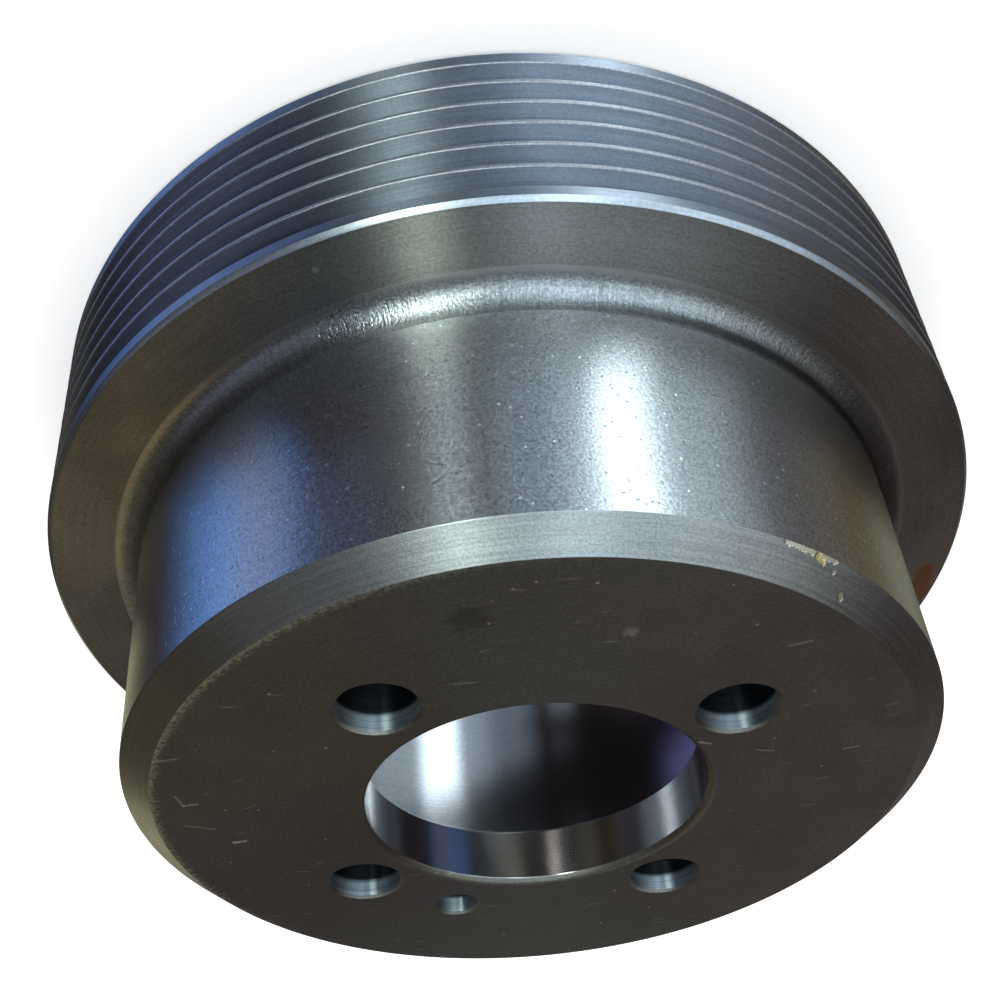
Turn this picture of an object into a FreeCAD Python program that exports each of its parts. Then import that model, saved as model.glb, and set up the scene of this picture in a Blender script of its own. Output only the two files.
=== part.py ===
import FreeCAD, Part
import enum
import math
import os

import Sketcher

# A water pump pulley, turned from one piece of steel.
# It stands on the open back end of its belt rim, at height 0.
# The mounting plate closes the far end of the hub and faces up, along +Z.
# The belt rim carries V-shaped grooves for a ribbed belt.
# The rim is bored wider than the hub, so that its wall stays thin behind the grooves.

PART_NAME = "pulley"
PARTS_FOLDER = "parts"

# Driving dimensions, in millimetres and degrees
SIZES = {
    "rim_diameter": 111.0,
    "shoulder_height": 10.5,
    "rib_pitch": 3.56,
    "groove_count": 6,
    "groove_angle": 40.0,
    "tip_land": 0.5,
    "groove_depth": 3.3,
    "back_land": 1.85,
    "front_land": 1.6,
    "rim_edge_chamfer": 0.5,
    "hub_length": 31.6,
    "shoulder_fillet": 3.0,
    "bevel_width": 3.2,
    "bevel_depth": 2.5,
    "plate_thickness": 7.0,
    "hub_wall": 6.0,
    "rim_wall": 8.0,
    "web_thickness": 9.4,
    "mouth_chamfer": 1.0,
    "step_chamfer": 0.5,
    "pilot_diameter": 38.1,
    "pilot_chamfer": 0.5,
    "pilot_back_chamfer": 0.3,
    "bolt_circle": 52.0,
    "bolt_count": 4,
    "bolt_diameter": 8.5,
    "bolt_angle": 45.0,
    "dowel_circle": 52.0,
    "dowel_diameter": 5.0,
    "dowel_offset_angle": 30.0,
    "hole_chamfer": 0.3,
}

# Room that a cutter keeps outside the surface it starts from
CUTTER_RUNOUT = 1.0
# How far an edge may lie from the place where it is looked for
EDGE_TOLERANCE = 0.001
FULL_TURN = 360.0
RIGHT_ANGLE = 90.0


class Point(enum.IntEnum):
    """Places on a line or a circle of a sketch, as the sketcher numbers them."""

    START = enum.auto()
    END = enum.auto()
    CENTRE = enum.auto()


class Axis(enum.IntEnum):
    """A sketch's own axes, as the sketcher numbers them."""

    RADIAL = -1
    TURNING = -2


# The crossing of a sketch's axes
ORIGIN = (Axis.RADIAL, Point.START)


class Length:
    """A size with its number now and the formula that ties it to the sheet."""

    def __init__(self, number, formula):
        self.number = number
        self.formula = formula

    def __add__(self, other):
        return Length(self.number + other.number, f"({self.formula} + {other.formula})")

    def __sub__(self, other):
        return Length(self.number - other.number, f"({self.formula} - {other.formula})")

    def __mul__(self, factor):
        return Length(self.number * factor.number, f"({self.formula} * {factor.formula})")

    def half(self):
        return Length(self.number / 2, f"({self.formula} / 2)")


def plain(number):
    """A fixed number, such as zero or a cutter's room, beside the sheet's sizes."""
    return Length(number, str(number))


def fill_sheet(document):
    """Write each driving dimension into a cell with its name beside it."""
    sheet = document.addObject("Spreadsheet::Sheet", "Sizes")
    for row, (name, number) in enumerate(SIZES.items(), start=1):
        sheet.set(f"A{row}", name)
        sheet.set(f"B{row}", str(number))
        sheet.setAlias(f"B{row}", name)
    document.recompute()
    return {name: Length(number, f"Sizes.{name}") for name, number in SIZES.items()}


def origin_feature(body, role):
    """The body's own origin plane or axis with this role."""
    return next(item for item in body.Origin.OriginFeatures if item.Role == role)


def new_sketch(body, name, role):
    """An empty sketch on one of the body's origin planes."""
    sketch = body.newObject("Sketcher::SketchObject", name)
    sketch.AttachmentSupport = [(origin_feature(body, role), "")]
    sketch.MapMode = "FlatFace"
    return sketch


def bind(sketch, name, kind, *places, size):
    """Add a dimension whose value is the size's formula."""
    index = sketch.addConstraint(Sketcher.Constraint(kind, *places, size.number))
    sketch.renameConstraint(index, name)
    sketch.setExpression(f"Constraints.{name}", size.formula)


def tie(sketch, kind, *places):
    """Add a geometric constraint without a value."""
    sketch.addConstraint(Sketcher.Constraint(kind, *places))


def section(sketch, corners):
    """Draw a closed outline of straight edges round the turning axis.

    Each corner is a name, a radius and a height. An edge that keeps the radius or the
    height of its first corner is made upright or level, and gets no second dimension.
    """
    spots = [FreeCAD.Vector(radius.number, height.number, 0) for _, radius, height in corners]
    count = len(corners)
    for index, spot in enumerate(spots):
        sketch.addGeometry(Part.LineSegment(spot, spots[(index + 1) % count]), False)
    for index in range(count):
        tie(sketch, "Coincident", index, Point.END, (index + 1) % count, Point.START)
    for index, (name, radius, height) in enumerate(corners):
        before = corners[index - 1] if index else None
        if before and before[1].formula == radius.formula:
            tie(sketch, "Vertical", index - 1)
        elif radius.number == 0:
            tie(sketch, "PointOnObject", index, Point.START, Axis.TURNING)
        else:
            bind(sketch, f"{name}_radius", "DistanceX", *ORIGIN, index, Point.START, size=radius)
        if before and before[2].formula == height.formula:
            tie(sketch, "Horizontal", index - 1)
        elif height.number == 0:
            tie(sketch, "PointOnObject", index, Point.START, Axis.RADIAL)
        else:
            bind(sketch, f"{name}_height", "DistanceY", *ORIGIN, index, Point.START, size=height)


def turned(body, kind, name, sketch):
    """Turn a section a full circle, to add to the body or to cut from it."""
    feature = body.newObject(kind, name)
    feature.Profile = sketch
    feature.ReferenceAxis = (sketch, ["V_Axis"])
    feature.Angle = FULL_TURN
    sketch.Visibility = False
    body.Document.recompute()
    return feature


def ring_edges(shape, rings):
    """Names of the circular edges round the turning axis at these radii and heights."""
    names = []
    for number, edge in enumerate(shape.Edges, start=1):
        if not isinstance(edge.Curve, Part.Circle):
            continue
        centre = edge.Curve.Center
        if math.hypot(centre.x, centre.y) > EDGE_TOLERANCE:
            continue
        for radius, height in rings:
            near_radius = abs(edge.Curve.Radius - radius.number) < EDGE_TOLERANCE
            near_height = abs(centre.z - height.number) < EDGE_TOLERANCE
            if near_radius and near_height:
                names.append(f"Edge{number}")
    return names


def dress(body, kind, name, rings, size):
    """Round or bevel the ring edges at these places."""
    base = body.Tip
    names = ring_edges(base.Shape, rings)
    if len(names) != len(rings):
        raise RuntimeError(f"{name}: found {len(names)} of {len(rings)} edges")
    feature = body.newObject(kind, name)
    feature.Base = (base, names)
    property_name = "Radius" if kind.endswith("Fillet") else "Size"
    setattr(feature, property_name, size.number)
    feature.setExpression(property_name, size.formula)
    body.Document.recompute()
    return feature


def front_sketch(body, name, height):
    """A sketch that lies in the front face, above the base plane."""
    sketch = new_sketch(body, name, "XY_Plane")
    sketch.AttachmentOffset = FreeCAD.Placement(FreeCAD.Vector(0, 0, height.number), FreeCAD.Rotation())
    sketch.setExpression("AttachmentOffset.Base.z", height.formula)
    return sketch


def drilled(body, name, height, circle_diameter, angle, diameter, chamfer):
    """Drill one hole down through the plate, with a bevelled mouth, at an angle on a circle."""
    sketch = front_sketch(body, f"{name}_place", height)
    turn = math.radians(angle.number)
    reach = circle_diameter.number / 2
    spot = FreeCAD.Vector(reach * math.cos(turn), reach * math.sin(turn), 0)
    arm = sketch.addGeometry(Part.LineSegment(FreeCAD.Vector(0, 0, 0), spot), True)
    ring = sketch.addGeometry(Part.Circle(spot, FreeCAD.Vector(0, 0, 1), diameter.number / 2), False)
    tie(sketch, "Coincident", arm, Point.START, *ORIGIN)
    tie(sketch, "Coincident", ring, Point.CENTRE, arm, Point.END)
    bind(sketch, "reach", "Distance", arm, size=circle_diameter.half())
    bind(sketch, "drill_diameter", "Diameter", ring, size=diameter)
    index = sketch.addConstraint(Sketcher.Constraint("Angle", arm, turn))
    sketch.renameConstraint(index, "turn")
    sketch.setExpression("Constraints.turn", f"({angle.formula}) * 1 deg")
    body.Document.recompute()
    hole = body.newObject("PartDesign::Hole", name)
    hole.Profile = sketch
    body.Document.recompute()
    hole.DepthType = "ThroughAll"
    hole.ThreadType = "None"
    hole.Diameter = diameter.number
    hole.setExpression("Diameter", diameter.formula)
    mouth = diameter + chamfer + chamfer
    hole.HoleCutType = "Countersink"
    hole.HoleCutCustomValues = True
    hole.HoleCutDiameter = mouth.number
    hole.setExpression("HoleCutDiameter", mouth.formula)
    hole.HoleCutCountersinkAngle = RIGHT_ANGLE
    sketch.Visibility = False
    body.Document.recompute()
    return hole


def groove_section(sketch, size, rim_radius, centre_height):
    """Draw the belt groove's section: two flanks that slope to a flat root."""
    slope = math.radians(size["groove_angle"].number / 2)
    mouth = size["rib_pitch"] - size["tip_land"]
    root_radius = rim_radius - size["groove_depth"]
    outer_radius = rim_radius + plain(CUTTER_RUNOUT)

    def half_width(radius):
        return mouth.number / 2 + (radius.number - rim_radius.number) * math.tan(slope)

    def spot(radius, side):
        offset = side * half_width(radius)
        return FreeCAD.Vector(radius.number, centre_height.number + offset, 0)

    def line(first, last, construction=False):
        return sketch.addGeometry(Part.LineSegment(first, last), construction)

    closing = line(spot(outer_radius, -1), spot(outer_radius, 1))
    upper_flank = line(spot(root_radius, 1), spot(outer_radius, 1))
    root = line(spot(root_radius, -1), spot(root_radius, 1))
    lower_flank = line(spot(root_radius, -1), spot(outer_radius, -1))
    centre_line = line(spot(root_radius, 0), spot(outer_radius, 0), True)
    mouth_line = line(spot(rim_radius, -1), spot(rim_radius, 1), True)

    tie(sketch, "Coincident", closing, Point.END, upper_flank, Point.END)
    tie(sketch, "Coincident", closing, Point.START, lower_flank, Point.END)
    tie(sketch, "Coincident", root, Point.END, upper_flank, Point.START)
    tie(sketch, "Coincident", root, Point.START, lower_flank, Point.START)
    tie(sketch, "Vertical", closing)
    tie(sketch, "Vertical", root)
    tie(sketch, "Vertical", mouth_line)
    tie(sketch, "Horizontal", centre_line)
    tie(sketch, "Symmetric", root, Point.START, root, Point.END, centre_line, Point.START)
    tie(sketch, "Symmetric", closing, Point.START, closing, Point.END, centre_line, Point.END)
    tie(sketch, "PointOnObject", mouth_line, Point.END, upper_flank)
    tie(sketch, "PointOnObject", mouth_line, Point.START, lower_flank)
    bind(sketch, "mouth_width", "DistanceY", mouth_line, Point.START, mouth_line, Point.END, size=mouth)
    bind(sketch, "rim_radius", "DistanceX", *ORIGIN, mouth_line, Point.START, size=rim_radius)
    bind(sketch, "root_radius", "DistanceX", *ORIGIN, root, Point.START, size=root_radius)
    bind(sketch, "outer_radius", "DistanceX", *ORIGIN, closing, Point.START, size=outer_radius)
    bind(sketch, "centre_height", "DistanceY", *ORIGIN, centre_line, Point.START, size=centre_height)
    index = sketch.addConstraint(Sketcher.Constraint("Angle", upper_flank, slope))
    sketch.renameConstraint(index, "flank_angle")
    sketch.setExpression("Constraints.flank_angle", "Sizes.groove_angle / 2 * 1 deg")


def build_pulley(document, size):
    """Make the pulley in the order in which it is turned, bored, grooved and drilled."""
    body = document.addObject("PartDesign::Body", PART_NAME)
    body.Label = PART_NAME
    body.Placement = FreeCAD.Placement()

    zero = plain(0)
    rim_radius = size["rim_diameter"].half()
    rim_width = size["back_land"] + size["rib_pitch"] * size["groove_count"] + size["front_land"]
    hub_radius = rim_radius - size["shoulder_height"]
    face_radius = hub_radius - size["bevel_width"]
    total_height = rim_width + size["hub_length"]
    bevel_height = total_height - size["bevel_depth"]
    cavity_radius = hub_radius - size["hub_wall"]
    cavity_floor = total_height - size["plate_thickness"]
    counterbore_radius = rim_radius - size["rim_wall"]
    counterbore_depth = rim_width - size["web_thickness"]
    pilot_radius = size["pilot_diameter"].half()

    # Outside of the blank: rim, shoulder, hub and bevelled front face
    blank_sketch = new_sketch(body, "blank_section", "XZ_Plane")
    section(blank_sketch, [
        ("axis_back", zero, zero),
        ("rim_back", rim_radius, zero),
        ("rim_front", rim_radius, rim_width),
        ("hub_root", hub_radius, rim_width),
        ("bevel_outer", hub_radius, bevel_height),
        ("bevel_inner", face_radius, total_height),
        ("axis_front", zero, total_height),
    ])
    turned(body, "PartDesign::Revolution", "blank", blank_sketch)
    root_ring = [(hub_radius, rim_width)]
    dress(body, "PartDesign::Fillet", "shoulder_root", root_ring, size["shoulder_fillet"])
    rim_rings = [(rim_radius, zero), (rim_radius, rim_width)]
    dress(body, "PartDesign::Chamfer", "rim_edges", rim_rings, size["rim_edge_chamfer"])

    # Inside: a wide counterbore under the rim, then the hub's cavity
    cavity_sketch = new_sketch(body, "cavity_section", "XZ_Plane")
    section(cavity_sketch, [
        ("axis_mouth", zero, zero),
        ("mouth", counterbore_radius, zero),
        ("counterbore_end", counterbore_radius, counterbore_depth),
        ("step", cavity_radius, counterbore_depth),
        ("floor", cavity_radius, cavity_floor),
        ("axis_floor", zero, cavity_floor),
    ])
    turned(body, "PartDesign::Groove", "cavity", cavity_sketch)
    mouth_ring = [(counterbore_radius, zero)]
    dress(body, "PartDesign::Chamfer", "mouth_edge", mouth_ring, size["mouth_chamfer"])
    step_ring = [(cavity_radius, counterbore_depth)]
    dress(body, "PartDesign::Chamfer", "step_edge", step_ring, size["step_chamfer"])

    # Pilot bore through the plate
    pilot_sketch = front_sketch(body, "pilot_circle", total_height)
    pilot_circle = Part.Circle(FreeCAD.Vector(0, 0, 0), FreeCAD.Vector(0, 0, 1), pilot_radius.number)
    ring = pilot_sketch.addGeometry(pilot_circle, False)
    tie(pilot_sketch, "Coincident", ring, Point.CENTRE, *ORIGIN)
    bind(pilot_sketch, "pilot_diameter", "Diameter", ring, size=size["pilot_diameter"])
    document.recompute()
    pilot = body.newObject("PartDesign::Pocket", "pilot_bore")
    pilot.Profile = pilot_sketch
    pilot.Type = "ThroughAll"
    pilot_sketch.Visibility = False
    document.recompute()
    front_ring = [(pilot_radius, total_height)]
    dress(body, "PartDesign::Chamfer", "pilot_mouth", front_ring, size["pilot_chamfer"])
    back_ring = [(pilot_radius, cavity_floor)]
    dress(body, "PartDesign::Chamfer", "pilot_back", back_ring, size["pilot_back_chamfer"])

    # Bolt holes, and a dowel hole beside one of them
    axis = origin_feature(body, "Z_Axis")
    bolt = drilled(body, "bolt_hole", total_height, size["bolt_circle"], size["bolt_angle"],
                   size["bolt_diameter"], size["hole_chamfer"])
    bolts = body.newObject("PartDesign::PolarPattern", "bolt_holes")
    bolts.Originals = [bolt]
    bolts.Axis = (axis, [""])
    bolts.Angle = FULL_TURN
    bolts.Occurrences = int(size["bolt_count"].number)
    bolts.setExpression("Occurrences", size["bolt_count"].formula)
    body.Tip = bolts
    document.recompute()
    opposite_bolt = size["bolt_angle"] + plain(FULL_TURN / 2)
    dowel_angle = opposite_bolt + size["dowel_offset_angle"]
    drilled(body, "dowel_hole", total_height, size["dowel_circle"], dowel_angle,
            size["dowel_diameter"], size["hole_chamfer"])

    # Belt grooves along the rim
    groove_sketch = new_sketch(body, "groove_section", "XZ_Plane")
    first_centre = size["back_land"] + size["rib_pitch"].half()
    groove_section(groove_sketch, size, rim_radius, first_centre)
    groove = turned(body, "PartDesign::Groove", "belt_groove", groove_sketch)
    grooves = body.newObject("PartDesign::LinearPattern", "belt_grooves")
    grooves.Originals = [groove]
    grooves.Direction = (axis, [""])
    steps = size["groove_count"] - plain(1)
    run = size["rib_pitch"] * steps
    grooves.Length = run.number
    grooves.setExpression("Length", run.formula)
    grooves.Occurrences = int(size["groove_count"].number)
    grooves.setExpression("Occurrences", size["groove_count"].formula)
    body.Tip = grooves
    document.recompute()
    return body


def check_document(document):
    """Stop if any object failed to build."""
    for item in document.Objects:
        if "Invalid" in item.State or "Error" in item.State:
            raise RuntimeError(f"{item.Name} failed to build: {item.State}")


def check_cuts(body):
    """Stop if a feature that should take material away leaves the volume as it was."""
    before = None
    for feature in body.Group:
        if not feature.isDerivedFrom("PartDesign::Feature"):
            continue
        volume = feature.Shape.Volume
        cuts = "Pocket", "Groove", "Hole", "Chamfer", "PolarPattern", "LinearPattern"
        if before is not None and feature.TypeId.endswith(cuts) and volume >= before:
            raise RuntimeError(f"{feature.Name} cut nothing")
        before = volume


def main():
    document = FreeCAD.newDocument("water_pump_pulley")
    size = fill_sheet(document)
    body = build_pulley(document, size)
    document.recompute()
    check_document(document)
    check_cuts(body)
    shape = body.Shape
    if shape.isNull() or not shape.isValid() or len(shape.Solids) != 1:
        raise RuntimeError("the pulley is not one valid solid")
    os.makedirs(PARTS_FOLDER, exist_ok=True)
    shape.exportStep(os.path.join(PARTS_FOLDER, f"{body.Label}.step"))
    box = shape.BoundBox
    extent = f"{box.XLength:.2f} x {box.YLength:.2f} x {box.ZLength:.2f} mm"
    print(f"{body.Label}: {extent}, {shape.Volume:.0f} mm3")


main()
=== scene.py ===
"""Looks of the turned steel water pump pulley: its finishes, its floor, its soft light and its camera."""

import logging
import math
from collections.abc import Iterator
from dataclasses import dataclass, field
from enum import Enum

import bmesh
import bpy
from mathutils import Matrix, Vector


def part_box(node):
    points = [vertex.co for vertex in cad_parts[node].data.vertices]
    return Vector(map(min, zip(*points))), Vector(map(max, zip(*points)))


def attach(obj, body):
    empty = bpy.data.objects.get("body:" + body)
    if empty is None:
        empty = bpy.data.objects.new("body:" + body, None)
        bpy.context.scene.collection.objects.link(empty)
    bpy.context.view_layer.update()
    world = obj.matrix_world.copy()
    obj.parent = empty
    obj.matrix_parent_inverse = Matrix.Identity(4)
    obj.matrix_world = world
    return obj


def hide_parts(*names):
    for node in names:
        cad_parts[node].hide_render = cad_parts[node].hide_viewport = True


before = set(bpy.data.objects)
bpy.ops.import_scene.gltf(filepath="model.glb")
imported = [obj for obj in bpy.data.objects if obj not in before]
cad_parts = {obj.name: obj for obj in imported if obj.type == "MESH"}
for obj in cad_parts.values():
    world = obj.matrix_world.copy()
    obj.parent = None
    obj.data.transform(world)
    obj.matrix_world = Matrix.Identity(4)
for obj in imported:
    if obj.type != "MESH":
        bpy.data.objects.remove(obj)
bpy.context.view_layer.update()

MM = 0.001
PART_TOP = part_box("pulley")[1]
RIM_RADIUS = round(PART_TOP.x / MM, 2)
FACE_HEIGHT = round(PART_TOP.z / MM, 2)
SHOULDER_HEIGHT = 24.81
LOG = logging.getLogger("pulley")

Colour = tuple[float, float, float]
Socket = bpy.types.NodeSocket


class Zone(Enum):
    """Stretches of the turned surface, each with a finish of its own."""

    RIM_BACK = "rim_back"
    RIM = "rim"
    CREST = "crest"
    RIM_EDGE = "rim_edge"
    SHOULDER = "shoulder"
    FILLET = "fillet"
    HUB = "hub"
    BEVEL = "bevel"
    FACE = "face"
    BORE = "bore"
    HOLE = "hole"
    CAVITY = "cavity"
    COUNTERBORE = "counterbore"


class NodeBench:
    """Places shader nodes in one tree and joins them."""

    MIX_FIRST = 6
    MIX_SECOND = 7
    MIX_RESULT = 2

    def __init__(self, tree: bpy.types.NodeTree) -> None:
        """Start with an empty tree.

        Args:
            tree: the node tree to fill.
        """
        self.tree = tree
        tree.nodes.clear()

    def add(self, kind: str, inputs: dict | None = None, **settings: object) -> bpy.types.Node:
        """Place one node.

        Args:
            kind: the node's type name.
            inputs: socket names or numbers with a value, or with the socket that feeds them.
            settings: the node's own options.

        Returns:
            The new node.
        """
        node = self.tree.nodes.new(kind)
        for name, option in settings.items():
            setattr(node, name, option)
        for key, source in (inputs or {}).items():
            self.feed(node.inputs[key], source)
        return node

    def feed(self, target: Socket, source: object) -> None:
        """Join a socket to a node's input, or set the input's own value.

        Args:
            target: the input.
            source: the socket to join, or a number, a vector or a colour.
        """
        if isinstance(source, bpy.types.NodeSocket):
            self.tree.links.new(source, target)
        elif isinstance(source, tuple) and target.type == "RGBA":
            target.default_value = (*source, 1.0)
        else:
            target.default_value = source

    def maths(self, operation: str, *terms: object) -> Socket:
        """One step of arithmetic on numbers."""
        return self.add("ShaderNodeMath", dict(enumerate(terms)), operation=operation).outputs[0]

    def vector(self, operation: str, *terms: object) -> Socket:
        """One step of arithmetic on vectors that gives a vector."""
        return self.add("ShaderNodeVectorMath", dict(enumerate(terms)), operation=operation).outputs["Vector"]

    def measure(self, operation: str, *terms: object) -> Socket:
        """One step of arithmetic on vectors that gives a number."""
        return self.add("ShaderNodeVectorMath", dict(enumerate(terms)), operation=operation).outputs["Value"]

    def scaled(self, vector: Socket, factor: object) -> Socket:
        """A vector times a number."""
        return self.add("ShaderNodeVectorMath", {0: vector, "Scale": factor}, operation="SCALE").outputs[0]

    def ramp(self, number: object, low: object, high: object, first: object = 0.0,
             last: object = 1.0) -> Socket:
        """A smooth step of a number from one range to another.

        Args:
            number: what is mapped.
            low: where the step starts.
            high: where the step ends.
            first: the result at the start.
            last: the result at the end.

        Returns:
            The mapped number.
        """
        values = {"Value": number, "From Min": low, "From Max": high, "To Min": first, "To Max": last}
        return self.add("ShaderNodeMapRange", values, interpolation_type="SMOOTHSTEP").outputs["Result"]

    def blend(self, share: object, first: object, second: object, way: str = "MIX") -> Socket:
        """Mix two colours.

        Args:
            share: the second colour's share.
            first: the colour where the share is nought.
            second: the colour where the share is one.
            way: how they are mixed.

        Returns:
            The mixed colour.
        """
        inputs = {"Factor": share, self.MIX_FIRST: first, self.MIX_SECOND: second}
        node = self.add("ShaderNodeMix", data_type="RGBA", blend_type=way, clamp_factor=True)
        for key, source in inputs.items():
            self.feed(node.inputs[key], source)
        return node.outputs[self.MIX_RESULT]

    def tone(self, mask: Socket) -> Socket:
        """A mask as a grey colour."""
        return self.add("ShaderNodeCombineColor", {0: mask, 1: mask, 2: mask}).outputs[0]

    def joined(self, **parts: object) -> Socket:
        """A vector put together from numbers for X, Y and Z."""
        return self.add("ShaderNodeCombineXYZ", parts).outputs[0]

    def constant(self, values: Colour) -> Socket:
        """Three fixed numbers as a vector."""
        return self.joined(**dict(zip("XYZ", values)))

    def noise(self, vector: Socket, detail: float = 2.0, roughness: float = 0.5) -> Socket:
        """Soft noise with cells of about one unit of the vector."""
        values = {"Vector": vector, "Scale": 1.0, "Detail": detail, "Roughness": roughness}
        return self.add("ShaderNodeTexNoise", values).outputs["Fac"]

    def finish(self, shader: bpy.types.Node, kind: str = "ShaderNodeOutputMaterial") -> None:
        """Feed a shader into the tree's output."""
        self.feed(self.add(kind).inputs["Surface"], shader.outputs[0])


class GroupBench(NodeBench):
    """A bench on a shared group's tree, with the group's two ends placed."""

    def __init__(self, tree: bpy.types.NodeTree) -> None:
        """Place the two ends of a group.

        Args:
            tree: the group's tree, with its sockets made.
        """
        super().__init__(tree)
        self.start = self.add("NodeGroupInput").outputs
        self.end = self.add("NodeGroupOutput").inputs

    def give(self, name: str, source: Socket) -> None:
        """Put a value out under the name of one of the group's outputs."""
        self.feed(self.end[name], source)


def new_material(name: str) -> tuple[bpy.types.Material, NodeBench]:
    """Make a material with an empty node tree.

    Args:
        name: the material's name.

    Returns:
        The material, and the bench on its tree.
    """
    material = bpy.data.materials.new(name)
    material.use_nodes = True
    return material, NodeBench(material.node_tree)


class GroupKind(Enum):
    """Shared surface effects, each a node group that is built once."""

    PLACE = "lathe place"
    TURNING = "turning marks"
    GRAIN = "grain"
    PITS = "pits"
    SCRATCHES = "scratches"
    SPOT = "spot"
    RING = "wear and painted light ring"


class SurfaceGroups:
    """Builds the shared node groups and places them in materials."""

    LINE_STEP = (0.25, 0.75)
    GRAIN_STEP = (0.3, 0.7)
    DOT_CORE = 0.4
    SCRATCH_BEND = 0.16
    SCRATCH_BEND_SCALE = 0.12
    SHORTEST_LINE = 0.001
    SPOT_EDGE = (0.8, 1.2)
    RING_EDGE = (0.7, 1.3)

    def __init__(self) -> None:
        """Build every group."""
        self.trees: dict[GroupKind, bpy.types.NodeTree] = {}
        self.build_place()
        self.build_turning()
        self.build_grain()
        self.build_pits()
        self.build_scratches()
        self.build_spot()
        self.build_ring()

    def open_group(self, kind: GroupKind, inputs: dict[str, object], outputs: tuple[str, ...] = ("Mask",),
                   vectors: tuple[str, ...] = ()) -> GroupBench:
        """Start a group with named inputs and outputs.

        Args:
            kind: which effect it is.
            inputs: input names with their standard values, numbers or vectors.
            outputs: the names of its outputs.
            vectors: which of them are vectors, and not numbers.

        Returns:
            A bench on the group's tree, with its ends placed.
        """
        tree = bpy.data.node_groups.new(kind.value, "ShaderNodeTree")
        for name, standard in inputs.items():
            socket_type = "NodeSocketVector" if isinstance(standard, tuple) else "NodeSocketFloat"
            socket = tree.interface.new_socket(name, in_out="INPUT", socket_type=socket_type)
            socket.default_value = standard
        for name in outputs:
            socket_type = "NodeSocketVector" if name in vectors else "NodeSocketFloat"
            tree.interface.new_socket(name, in_out="OUTPUT", socket_type=socket_type)
        self.trees[kind] = tree
        return GroupBench(tree)

    def place(self, bench: NodeBench, kind: GroupKind, **values: object) -> bpy.types.Node:
        """Put a group into a material with its own values.

        Args:
            bench: the material's bench.
            kind: which effect.
            values: the group's inputs, with underscores for spaces.

        Returns:
            The group's node.
        """
        node = bench.add("ShaderNodeGroup", node_tree=self.trees[kind])
        for name, source in values.items():
            bench.feed(node.inputs[name.replace("_", " ").capitalize()], source)
        return node

    def build_place(self) -> None:
        """Where a point of the turned part lies: its place, its way round, its radius and its height."""
        names = ("Point", "Around", "Radius", "Height")
        bench = self.open_group(GroupKind.PLACE, {}, names, vectors=names[:2])
        position = bench.add("ShaderNodeTexCoord").outputs["Object"]
        point = bench.scaled(position, 1 / MM)
        flat = bench.vector("MULTIPLY", point, (1.0, 1.0, 0.0))
        radius = bench.measure("LENGTH", flat)
        height = bench.measure("DOT_PRODUCT", point, (0.0, 0.0, 1.0))
        bench.give("Point", point)
        bench.give("Around", bench.vector("NORMALIZE", flat))
        bench.give("Radius", radius)
        bench.give("Height", height)

    def build_turning(self) -> None:
        """Fine lines round the part, which wander a little on their way round."""
        bench = self.open_group(GroupKind.TURNING, {"Pitch": 0.2, "Wander": 2.0, "Slope": 1.7})
        where = self.place(bench, GroupKind.PLACE).outputs
        along = bench.maths("MULTIPLY_ADD", where["Radius"], bench.start["Slope"], where["Height"])
        along = bench.maths("DIVIDE", along, bench.start["Pitch"])
        drift = bench.scaled(where["Around"], bench.start["Wander"])
        lines = bench.noise(bench.vector("ADD", drift, bench.joined(Z=along)), detail=3.0, roughness=0.65)
        bench.give("Mask", bench.ramp(lines, *self.LINE_STEP))

    def build_grain(self) -> None:
        """Fine even grain with cells of one size."""
        bench = self.open_group(GroupKind.GRAIN, {"Size": 0.3})
        cells = self.cells(bench, bench.start["Size"])
        bench.give("Mask", bench.ramp(bench.noise(cells), *self.GRAIN_STEP))

    def cells(self, bench: GroupBench, size: Socket) -> Socket:
        """The place of a point, counted in cells of one size.

        Args:
            bench: the group's bench.
            size: the size of a cell in millimetres.

        Returns:
            The place.
        """
        where = self.place(bench, GroupKind.PLACE)
        return bench.scaled(where.outputs["Point"], bench.maths("DIVIDE", 1.0, size))

    def build_pits(self) -> None:
        """Small scattered dots, on a share of the cells."""
        bench = self.open_group(GroupKind.PITS, {"Spacing": 1.0, "Size": 0.25, "Share": 0.3})
        self.finish_dots(bench, self.cells(bench, bench.start["Spacing"]))

    def finish_dots(self, bench: GroupBench, cells: Socket) -> None:
        """Put out dots of the group's Size on the group's Share of the cells.

        Args:
            bench: the group's bench.
            cells: the place of a point, counted in cells.
        """
        dots = bench.add("ShaderNodeTexVoronoi", {"Vector": cells, "Scale": 1.0, "Randomness": 1.0})
        size = bench.start["Size"]
        inner = bench.maths("MULTIPLY", size, self.DOT_CORE)
        near = bench.ramp(dots.outputs["Distance"], inner, size, 1.0, 0.0)
        draw = bench.add("ShaderNodeSeparateColor", {"Color": dots.outputs["Color"]}).outputs[0]
        chosen = bench.maths("LESS_THAN", draw, bench.start["Share"])
        bench.give("Mask", bench.maths("MULTIPLY", near, chosen))

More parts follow.
